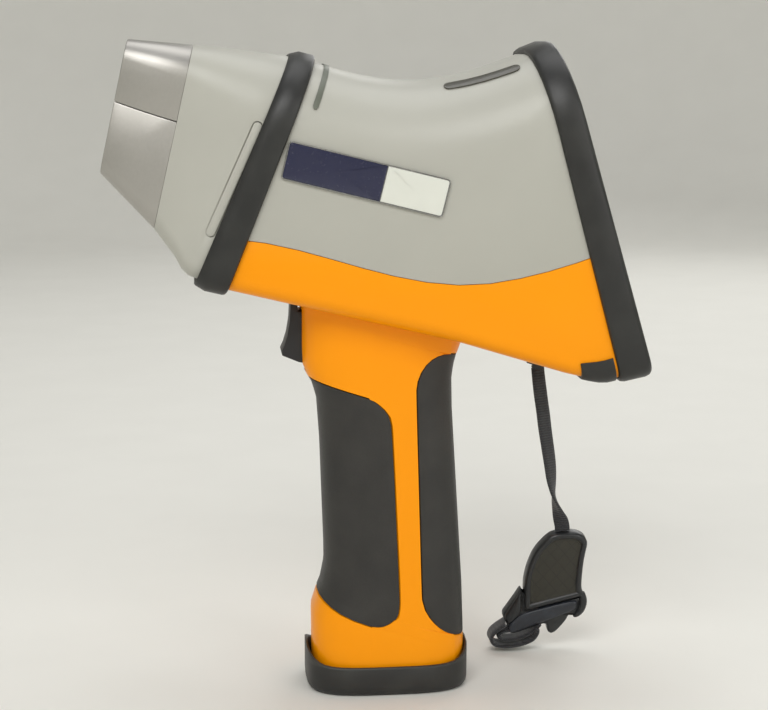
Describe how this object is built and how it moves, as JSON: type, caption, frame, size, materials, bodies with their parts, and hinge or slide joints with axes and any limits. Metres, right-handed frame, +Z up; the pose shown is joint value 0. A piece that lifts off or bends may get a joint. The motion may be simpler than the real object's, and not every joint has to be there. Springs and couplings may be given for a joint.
{
  "type": "handheld xrf analyzer",
  "caption": "Pistol-grip handheld XRF analyzer with a metal nose, rear touch display and keys, trigger, slide-out battery with rubber boot, and a wrist strap.",
  "frame": {"origin": "centre of the flat bottom face of the battery boot, which the instrument stands on", "axes": "+X from the nose to the display, +Y away from the badge side, +Z up"},
  "size_m": [0.2275, 0.0888, 0.2813],
  "materials": {
    "nose_metal": "satin",
    "steel": "satin",
    "amber_film": "gloss",
    "dark_lens": "gloss",
    "grey_moulding": "satin",
    "black_rubber": "matte",
    "orange_moulding": "satin",
    "badge_metal": "satin",
    "navy_label": "satin",
    "white_label": "satin",
    "smoked_lens": "gloss",
    "black_moulding": "matte",
    "display_glass": "gloss",
    "display_panel": "satin",
    "circuit_board": "satin",
    "grey_key": "satin",
    "red_key": "satin",
    "bare_aluminium": "satin",
    "brass": "satin",
    "potted_block": "satin",
    "cream_moulding": "satin",
    "webbing": "matte",
    "black_steel": "satin"
  },
  "bodies": {
    "housing": {"nose_cap_upper": "nose_metal", "nose_cap_lower": "nose_metal", "window_plate": "steel", "window_film": "amber_film", "proximity_lens": "dark_lens", "front_housing": "grey_moulding", "front_band": "black_rubber", "upper_housing": "grey_moulding", "lower_housing": "orange_moulding", "rear_bumper": "black_rubber", "heel_pad": "black_rubber", "badge_frame": "badge_metal", "badge_dark_plate": "navy_label", "badge_light_plate": "white_label", "light_bar_lens": "smoked_lens", "top_lamp_lens": "smoked_lens", "display_bezel": "black_moulding", "touch_glass": "display_glass", "display_module": "display_panel", "processor_board": "circuit_board", "keypad_board": "circuit_board", "chassis": "bare_aluminium", "x_ray_tube": "brass", "high_voltage_supply": "potted_block", "collimator": "steel", "filter_motor": "steel", "detector": "steel", "detector_board": "circuit_board", "heat_sink": "bare_aluminium", "speaker": "black_moulding", "handle_shell": "orange_moulding", "front_grip": "black_rubber", "rear_grip": "black_rubber", "trigger_pin": "steel", "trigger_spring": "steel", "trigger_switch": "black_moulding", "battery_contacts": "cream_moulding", "strap_anchor": "black_moulding", "wrist_strap": "webbing", "buckle_socket": "black_moulding", "buckle_plug": "black_moulding", "strap_tail": "webbing", "housing_screws": "black_steel"},
    "trigger": {"trigger": "black_moulding"},
    "battery": {"battery_pack": "black_moulding", "battery_boot": "black_rubber", "boot_screws": "black_steel", "catch_spring": "steel"},
    "battery_catch": {"battery_catch": "black_moulding"},
    "filter_wheel": {"filter_wheel": "bare_aluminium", "filter_shaft": "steel"},
    "left_key": {"left_key": "grey_key"},
    "right_key": {"right_key": "grey_key"},
    "power_key": {"power_key": "red_key"},
    "navigation_ring": {"navigation_ring": "grey_key"},
    "select_key": {"select_key": "grey_key"}
  },
  "joints": [
    {"name": "trigger_pull", "type": "hinge", "parent": "housing", "child": "trigger", "pos_m": [-0.0315, 0, 0.163], "axis": [0, -1, 0], "range_deg": [0, 8], "stiffness_Nm_per_rad": 0.5, "deforming": ["trigger_spring"]},
    {"name": "battery_slide", "type": "slide", "parent": "housing", "child": "battery", "axis": [0, 0, -1], "range_m": [0, 0.115]},
    {"name": "battery_catch_press", "type": "slide", "parent": "battery", "child": "battery_catch", "axis": [-1, 0, 0], "range_m": [0, 0.0016], "stiffness_N_per_m": 3000, "deforming": ["catch_spring"]},
    {"name": "filter_wheel_turn", "type": "hinge", "parent": "housing", "child": "filter_wheel", "pos_m": [-0.09631, 0.00625, 0.26527], "axis": [0.9747, 0, -0.2234], "continuous": true},
    {"name": "left_key_press", "type": "slide", "parent": "housing", "child": "left_key", "axis": [-0.962, 0, -0.2731], "range_m": [0, 0.0008], "stiffness_N_per_m": 1200},
    {"name": "right_key_press", "type": "slide", "parent": "housing", "child": "right_key", "axis": [-0.962, 0, -0.2731], "range_m": [0, 0.0008], "stiffness_N_per_m": 1200},
    {"name": "power_key_press", "type": "slide", "parent": "housing", "child": "power_key", "axis": [-0.962, 0, -0.2731], "range_m": [0, 0.0008], "stiffness_N_per_m": 1200},
    {"name": "navigation_ring_press", "type": "slide", "parent": "housing", "child": "navigation_ring", "axis": [-0.962, 0, -0.2731], "range_m": [0, 0.0008], "stiffness_N_per_m": 1200},
    {"name": "select_key_press", "type": "slide", "parent": "housing", "child": "select_key", "axis": [-0.962, 0, -0.2731], "range_m": [0, 0.0008], "stiffness_N_per_m": 1200}
  ]
}
